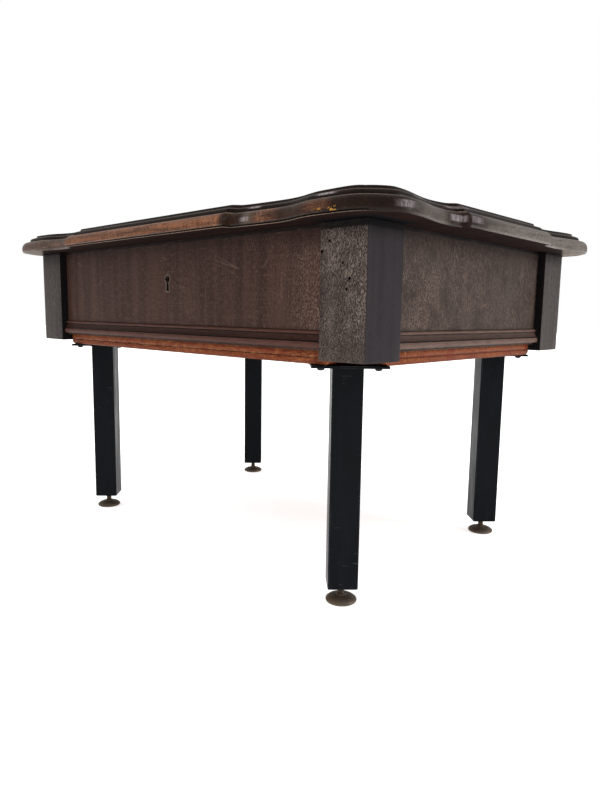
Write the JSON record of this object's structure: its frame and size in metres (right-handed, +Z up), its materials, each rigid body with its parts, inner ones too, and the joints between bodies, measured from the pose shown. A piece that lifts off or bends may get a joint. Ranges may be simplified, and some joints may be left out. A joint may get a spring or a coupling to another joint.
{
  "type": "display case",
  "caption": "Low glazed display case: wooden box with corner posts, hinged serpentine-edged lid with a glass pane and lock, on square steel legs with levelling feet.",
  "frame": {"origin": "on the floor under the centre of the case, at the bottom of its bounding box", "axes": "+X to the right as seen from the front, +Y to the back (the keyhole faces -Y), +Z up"},
  "size_m": [0.754, 0.5404, 0.4533],
  "materials": {
    "post_wood": "worn dark stain, open vertical grain",
    "panel_wood": "dark reddish-brown stain, worn satin",
    "side_wood": "dark brown stain, worn satin",
    "lid_wood": "dark polish, worn to orange-brown on the edges",
    "board_wood": "orange-brown stain, satin",
    "felt": "wool felt",
    "glass": "clear float glass",
    "black_steel": "black paint, satin",
    "foot_metal": "browned steel",
    "screw_metal": "browned steel",
    "brass": "aged brass"
  },
  "bodies": {
    "case": {"back_panel": "panel_wood", "bottom_board": "board_wood", "front_base_moulding": "panel_wood", "front_panel": "panel_wood", "hinge_case_leaf_left": "brass", "hinge_case_leaf_right": "brass", "hinge_pin_left": "brass", "hinge_pin_right": "brass", "keyhole_liner": "brass", "left_base_moulding": "panel_wood", "left_panel": "panel_wood", "leg_back_left": "black_steel", "leg_back_right": "black_steel", "leg_front_left": "black_steel", "leg_front_right": "black_steel", "leg_plate_back_left": "black_steel", "leg_plate_back_right": "black_steel", "leg_plate_front_left": "black_steel", "leg_plate_front_right": "black_steel", "leg_screw_back_left_1": "screw_metal", "leg_screw_back_left_2": "screw_metal", "leg_screw_back_left_3": "screw_metal", "leg_screw_back_left_4": "screw_metal", "leg_screw_back_right_1": "screw_metal", "leg_screw_back_right_2": "screw_metal", "leg_screw_back_right_3": "screw_metal", "leg_screw_back_right_4": "screw_metal", "leg_screw_front_left_1": "screw_metal", "leg_screw_front_left_2": "screw_metal", "leg_screw_front_left_3": "screw_metal", "leg_screw_front_left_4": "screw_metal", "leg_screw_front_right_1": "screw_metal", "leg_screw_front_right_2": "screw_metal", "leg_screw_front_right_3": "screw_metal", "leg_screw_front_right_4": "screw_metal", "lining_board": "felt", "lock_case": "brass", "post_back_left": "post_wood", "post_back_right": "post_wood", "post_front_left": "post_wood", "post_front_right": "post_wood", "right_base_moulding": "panel_wood", "right_panel": "side_wood"},
    "lid": {"glass_pane": "glass", "glazing_bead_back": "lid_wood", "glazing_bead_front": "lid_wood", "glazing_bead_left": "lid_wood", "glazing_bead_right": "lid_wood", "hinge_lid_leaf_left": "brass", "hinge_lid_leaf_right": "brass", "lid_rail_back": "lid_wood", "lid_rail_front": "lid_wood", "lid_rail_left": "lid_wood", "lid_rail_right": "lid_wood", "strike_plate": "brass"},
    "lock_bolt": {"lock_bolt": "brass"},
    "foot_back_left": {"foot_back_left": "foot_metal"},
    "foot_back_right": {"foot_back_right": "foot_metal"},
    "foot_front_left": {"foot_front_left": "foot_metal"},
    "foot_front_right": {"foot_front_right": "foot_metal"}
  },
  "joints": [
    {"name": "lid_hinge", "type": "hinge", "parent": "case", "child": "lid", "pos_m": [0, 0.241, 0.4259], "axis": [-1, 0, 0], "range_deg": [0, 94]},
    {"name": "lock_bolt_slide", "type": "slide", "parent": "case", "child": "lock_bolt", "axis": [0, 0, 1], "range_m": [0, 0.008]},
    {"name": "foot_back_left_height", "type": "slide", "parent": "case", "child": "foot_back_left", "axis": [0, 0, -1], "range_m": [-0.01, 0.015]},
    {"name": "foot_back_right_height", "type": "slide", "parent": "case", "child": "foot_back_right", "axis": [0, 0, -1], "range_m": [-0.01, 0.015]},
    {"name": "foot_front_left_height", "type": "slide", "parent": "case", "child": "foot_front_left", "axis": [0, 0, -1], "range_m": [-0.01, 0.015]},
    {"name": "foot_front_right_height", "type": "slide", "parent": "case", "child": "foot_front_right", "axis": [0, 0, -1], "range_m": [-0.01, 0.015]}
  ]
}
